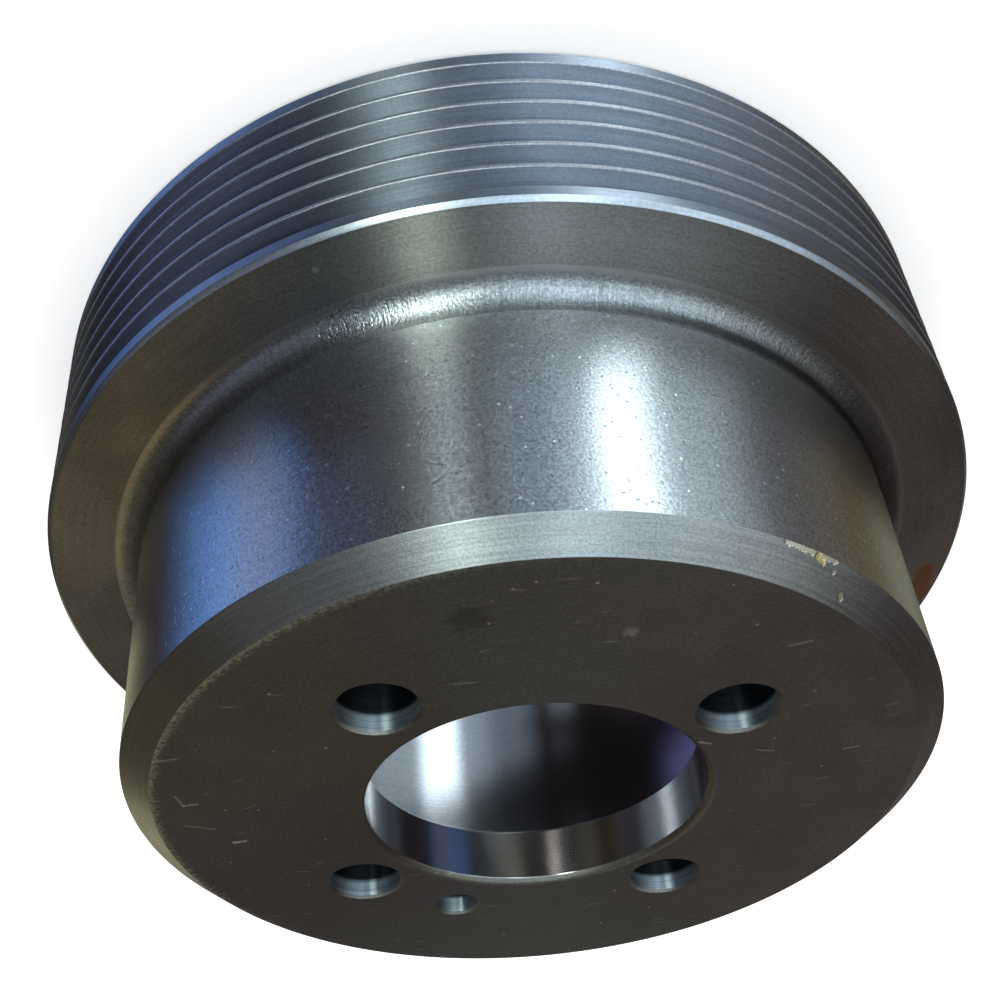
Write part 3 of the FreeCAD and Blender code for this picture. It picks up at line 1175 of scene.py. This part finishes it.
@dataclass(frozen=True)
class PhotoCamera:
    """The photo's camera: places in millimetres, angles in degrees, image lengths in pixels."""

    place: tuple[float, float, float] = (-24.26, 128.57, 130.70)
    aim: tuple[float, float, float] = (-0.85, -9.98, 28.0)
    roll: float = 185.49
    image_width: float = 1000.0
    focal_length: float = 1348.9
    centre: tuple[float, float] = (500.0, 650.0)
    sensor: float = 36.0
    nearest: float = 5.0
    farthest: float = 20000.0

    def build(self) -> bpy.types.Object:
        """Place the camera and make it the scene's own.

        Returns:
            The camera.
        """
        data = bpy.data.cameras.new("photo_camera")
        data.sensor_fit = "HORIZONTAL"
        data.sensor_width = self.sensor
        data.lens = self.focal_length / self.image_width * self.sensor
        middle = self.image_width / 2
        data.shift_x = (middle - self.centre[0]) / self.image_width
        data.shift_y = (self.centre[1] - middle) / self.image_width
        data.clip_start = self.nearest * MM
        data.clip_end = self.farthest * MM
        camera = bpy.data.objects.new("photo_camera", data)
        look = (Vector(self.aim) - Vector(self.place)).normalized()
        upright = look.to_track_quat("-Z", "Y").to_matrix()
        turned = Matrix.Rotation(math.radians(self.roll), 3, look) @ upright
        camera.matrix_world = Matrix.Translation(Vector(self.place) * MM) @ turned.to_4x4()
        bpy.context.scene.collection.objects.link(camera)
        bpy.context.scene.camera = camera
        return camera


STEEL = (0.42, 0.42, 0.43)
STEEL_DARK = (0.33, 0.33, 0.34)
RAW_METAL = (0.88, 0.82, 0.64)
RUST = (0.50, 0.27, 0.15)
PALE_WEAR_AND_HIGHLIGHT = (0.62, 0.58, 0.50)
BRIGHT_WEAR = (0.86, 0.84, 0.72)
DIRT_AND_SHADE = (0.06, 0.055, 0.055)
YELLOW_METAL = (1.0, 0.80, 0.36)


def face_mark(x: float, y: float, radius: float, strength: float, right: float, away: float) -> Spot:
    """A short bright scratch on the flat face.

    Args:
        x: where it starts along x, in millimetres.
        y: where it starts along y, in millimetres.
        radius: half of its width in millimetres.
        strength: its share of the surface's colour.
        right: how far it goes along x.
        away: how far it goes along y.

    Returns:
        The scratch.
    """
    place, end = (x, y, FACE_HEIGHT), (x + right, y + away, FACE_HEIGHT)
    return Spot(place, radius, BRIGHT_WEAR, end, strength, ragged=0.9, cell=0.3)


FINISHES = {
    Zone.RIM_BACK: TurnedFinish("rim_back_steel", STEEL, STEEL_DARK, 0.34, anisotropic=0.7, line_depth=0.004),
    Zone.RIM: TurnedFinish(
        "groove_steel", (0.37, 0.405, 0.46), (0.33, 0.36, 0.415), 0.28, anisotropic=0.95, line_pitch=0.12,
        line_depth=0.0015, line_tone=0.3, grain_tone=0.15,
        spots=(Spot((-21.28, 50.17, 18.79), 1.2, DIRT_AND_SHADE, strength=0.8, ragged=1.2, cell=0.4),
               Spot((-23.84, 49.01, 0.15), 1.2, DIRT_AND_SHADE, strength=0.6, ragged=1.2, cell=0.4),
               Spot((38.23, 38.84, 5.57), 0.5, (0.9, 0.5, 0.3), strength=0.8))),
    Zone.CREST: TurnedFinish(
        "crest_steel", (0.48, 0.47, 0.50), (0.40, 0.39, 0.42), 0.42, anisotropic=0.5, line_tone=0.1,
        grain_tone=0.3),
    Zone.RIM_EDGE: TurnedFinish(
        "rim_edge_steel", (0.54, 0.57, 0.60), (0.46, 0.49, 0.53), 0.3, anisotropic=0.6, line_pitch=0.1,
        line_depth=0.001, grain_tone=0.2),
    Zone.SHOULDER: TurnedFinish(
        "shoulder_steel", (0.37, 0.355, 0.325), (0.33, 0.315, 0.285), 0.34, anisotropic=0.97, line_pitch=0.18,
        line_depth=0.001, line_tone=0.25, grain_size=0.35, grain_depth=0.002, grain_tone=0.25,
        spots=(Spot((53.0, 3.0, SHOULDER_HEIGHT), 2.2, RUST, end=(53.6, -1.4, SHOULDER_HEIGHT),
                    strength=0.8, ragged=0.9, cell=1.2, roughness=0.3),
               Spot((-24.5, 46.2, SHOULDER_HEIGHT), 0.5, PALE_WEAR_AND_HIGHLIGHT, strength=0.7))),
    Zone.FILLET: TurnedFinish(
        "fillet_steel", (0.54, 0.55, 0.55), (0.46, 0.47, 0.47), 0.26, anisotropic=0.8, line_pitch=0.3,
        line_depth=0.001, chatter_wander=150.0, chatter_pitch=2.4, chatter_depth=0.008, chatter_tone=0.3,
        grain_size=0.28, grain_depth=0.012, grain_tone=0.35,
        # Painted shade: the first and the last ring darken the fillet's crease toward one side.
        rings=(WearAndPaintedLightRing(45.1, 27.0, 0.8, 45.0, 48.0, DIRT_AND_SHADE, 0.8, cell=2.0, ragged=0.6),
               WearAndPaintedLightRing(48.0, SHOULDER_HEIGHT, 0.9, 90.0, 180.0, (0.35, 0.335, 0.305), cell=0.4, ragged=0.5),
               WearAndPaintedLightRing(46.6, 25.8, 2.6, 15.0, 55.0, DIRT_AND_SHADE, 0.35, cell=3.0, ragged=0.3))),
    Zone.HUB: TurnedFinish(
        "hub_steel", (0.63, 0.65, 0.66), (0.60, 0.62, 0.63), 0.26, anisotropic=0.9, line_pitch=0.2,
        line_wander=6.0, line_depth=0.0006, line_tone=0.12, grain_size=0.3, grain_depth=0.0035,
        grain_tone=0.3, pit_spacing=0.62, pit_size=0.27, pit_share=0.4, pit_depth=0.012, pit_tone=0.5,
        patch_roughness=0.0, spark_spacing=0.9, spark_size=0.22, spark_share=0.25, spark_height=0.012,
        spark_colour=(0.86, 0.87, 0.88),
        # Painted shade: a dark line where the fillet meets the hub, toward one side.
        rings=(WearAndPaintedLightRing(45.0, 27.7, 0.45, 45.0, 48.0, DIRT_AND_SHADE, 0.6, cell=2.0, ragged=0.6),)),
    Zone.BEVEL: TurnedFinish(
        "bevel_steel", (0.58, 0.59, 0.57), (0.50, 0.51, 0.49), 0.36, anisotropic=0.78, line_pitch=0.16,
        line_depth=0.002, line_tone=0.3, grain_size=0.2, grain_depth=0.003, grain_tone=0.3,
        rings=(WearAndPaintedLightRing(43.4, 55.2, 3.6, 152.0, 42.0, (0.22, 0.20, 0.14), 0.6, cell=4.0, ragged=0.3),),
        spots=(Spot((17.3, 41.5, 54.0), 0.6, RAW_METAL, end=(22.6, 38.9, 54.1), ragged=1.0, cell=0.5,
                    depth=0.05),
               Spot((20.7, 39.8, 54.3), 0.55, YELLOW_METAL, end=(21.4, 39.2, 54.6), cell=0.4, depth=0.05),
               Spot((22.5, 38.0, 54.6), 0.35, RAW_METAL, strength=0.7, cell=0.3, depth=0.05),
               Spot((23.6, 35.9, 55.5), 0.32, RAW_METAL, end=(23.7, 35.5, 55.7), strength=0.8, cell=0.3,
                    depth=0.05),
               Spot((29.7, 28.6, 56.0), 0.35, PALE_WEAR_AND_HIGHLIGHT, strength=0.9, depth=0.1))),
    Zone.FACE: TurnedFinish(
        "face_film", (0.244, 0.225, 0.190), (0.213, 0.197, 0.166), 0.42, anisotropic=0.5, line_pitch=0.5,
        line_depth=0.001, line_tone=0.12, grain_size=0.4, grain_depth=0.003, grain_tone=0.22,
        spark_spacing=1.8, spark_size=0.12, spark_share=0.14, spark_colour=(0.75, 0.66, 0.45),
        scratches=(Scratches(-8.0, 4.5, 0.8, 0.05, 0.3), Scratches(-22.0, 3.0, 0.7, 0.04, 0.25)),
        spots=(face_mark(-41.0, 8.9, 0.3, 0.3, 2.6, 0.7),
               face_mark(-39.1, 2.1, 0.3, 0.4, 0.8, -2.0),
               face_mark(-38.3, 0.1, 0.35, 0.5, 1.4, 0.4),
               face_mark(-38.4, -4.2, 0.25, 0.3, 3.2, -0.8),
               face_mark(-33.4, -8.2, 0.4, 0.9, 1.3, 0.4),
               face_mark(20.5, 29.2, 0.25, 0.35, 2.0, 0.8),
               face_mark(15.7, 12.2, 0.35, 0.6, 1.2, -0.3),
               face_mark(22.4, 10.6, 0.25, 0.35, 1.8, -0.2),
               face_mark(32.0, 10.7, 0.25, 0.35, 1.6, 0.6),
               Spot((4.6, 31.2, FACE_HEIGHT), 1.4, PALE_WEAR_AND_HIGHLIGHT, strength=0.5, ragged=1.1),
               Spot((-10.6, 32.9, FACE_HEIGHT), 4.2, DIRT_AND_SHADE, strength=0.4, ragged=1.1)),
        rings=(WearAndPaintedLightRing(41.7, FACE_HEIGHT, 2.1, 165.0, 80.0, (0.80, 0.79, 0.64), 0.6, cell=0.5, ragged=1.8),
               # Painted highlight: a pale ring on the bore's front chamfer, on one side only.
               WearAndPaintedLightRing(19.8, FACE_HEIGHT, 0.7, -60.0, 100.0, PALE_WEAR_AND_HIGHLIGHT, 0.4, ragged=1.4))),
    Zone.BORE: TurnedFinish(
        "bore_steel", (0.51, 0.49, 0.48), (0.46, 0.44, 0.43), 0.18, anisotropic=0.8, line_pitch=0.15,
        line_depth=0.001, line_tone=0.15, patch_roughness=0.02),
    # Painted shade: the hole walls turn dark deeper than 54.2 mm, where the holes fall into shadow.
    Zone.HOLE: TurnedFinish(
        "hole_steel", (0.50, 0.56, 0.60), (0.44, 0.49, 0.53), 0.5, anisotropic=0.95, line_pitch=0.3,
        line_depth=0.006, line_tone=0.45, line_slope=0.0, painted_shade_top=54.2, painted_shade_tone=0.05),
    Zone.CAVITY: TurnedFinish(
        "cavity_steel", (0.40, 0.40, 0.42), (0.36, 0.36, 0.38), 0.15, anisotropic=0.5, line_pitch=0.25,
        line_depth=0.0006, line_tone=0.08, patch_roughness=0.0),
    # Painted shade: the counterbore's steel is made very dark, as the shade inside the rim.
    Zone.COUNTERBORE: TurnedFinish(
        "counterbore_steel", (0.10, 0.10, 0.11), (0.08, 0.08, 0.09), 0.45, line_pitch=0.3, line_depth=0.004),
}

CARDS = (
    SoftCard("key", 65, 3, 7, -80, -18, (0.80, 0.93, 1.0), 3.6),
    SoftCard("key skirt", 57, 9, 24, -80, -18, (0.71, 0.9, 1.0), 0.85),
    SoftCard("grey below right", 20, 12, 16, -80, -18, (0.9, 0.92, 1.0), 0.12),
    SoftCard("grey below middle", 90, 5, 12, -80, -18, (0.6, 0.8, 1.0), 0.44),
    SoftCard("soft streak", 114, 1, 6, -80, -18, (0.7, 0.85, 1.0), 0.4),
    SoftCard("violet", 146, 4, 10, -75, -15, (0.4, 0.4, 1.0), 0.03),
    SoftCard("blue beside", 164, 2, 4, -75, -15, (0.12, 0.4, 1.0), 0.45),
    SoftCard("lilac", 175, 4, 9, -75, -15, (0.5, 0.62, 1.0), 0.62),
    SoftCard("blue", -168, 5, 10, -75, -15, (0.16, 0.4, 1.0), 0.95),
    SoftCard("blue below", 174, 16, 24, -90, -54, (0.28, 0.52, 1.0), 0.8, edge=5.0),
    SoftCard("olive below", -112, 5, 10, -70, 10, (1.0, 0.96, 0.62), 0.5),
    SoftCard("strip behind", -68, 1, 6, -50, -5, (1.0, 0.96, 0.9), 3.0),
    SoftCard("brown below", -8, 6, 12, -75, -10, (1.0, 0.8, 0.2), 0.1),
    SoftCard("lime below", -32, 5, 10, -75, -10, (0.95, 1.0, 0.75), 0.28),
    SoftCard("high left", 115, 2, 4, 0, 50, (0.84, 1.0, 0.95), 13.5, edge=4.0),
    SoftCard("high left broad", 112, 10, 20, 0, 66, (0.57, 0.75, 1.0), 0.45),
    SoftCard("high middle", 80, 1, 6, 0, 66, (0.75, 0.88, 1.0), 2.8),
    SoftCard("high middle broad", 70, 15, 22, 0, 66, (0.67, 0.86, 1.0), 1.7),
    SoftCard("high right", 32, 1, 8, 10, 66, (0.6, 0.78, 1.0), 0.9),
    SoftCard("high right broad", 30, 14, 20, 10, 66, (0.93, 1.0, 0.99), 0.45),
    SoftCard("front brown", -88, 18, 20, 10, 50, (0.7, 0.75, 1.0), 0.08),
    SoftCard("olive above", -115, 5, 12, 30, 66, (1.0, 0.87, 0.43), 0.5),
    SoftCard("grey front", -58, 4, 14, 0, 60, (1.0, 0.88, 0.85), 0.2),
    SoftCard("side right", -5, 14, 18, 25, 66, (0.9, 0.9, 1.0), 0.08),
    SoftCard("side left", 165, 16, 20, 20, 66, (0.62, 0.76, 1.0), 0.28),
    SoftCard("low left", -140, 8, 14, 0, 40, (0.95, 1.0, 0.63), 0.07),
)


def main() -> None:
    """Build the body, the studio and the camera in order."""
    logging.basicConfig(level=logging.INFO, format="%(name)s: %(message)s")
    body = TurnedBody(PulleySizes()).build(FINISHES, SurfaceGroups())
    LOG.info("%s: %d faces in %d finishes", body.name, len(body.data.polygons), len(body.data.materials))
    studio = Studio(CARDS)
    for disc in (studio.build_floor(), studio.build_shade()):
        LOG.info("%s: %.2f mm below the part", disc.name, -disc.location.z / MM)
    studio.build_world()
    LOG.info("soft cards: %s", ", ".join(card.name for card in studio.cards))
    camera = PhotoCamera().build()
    LOG.info("%s: %.1f mm lens", camera.name, camera.data.lens)
    bpy.context.scene.view_settings.view_transform = "Standard"


if __name__ == "__main__":
    main()
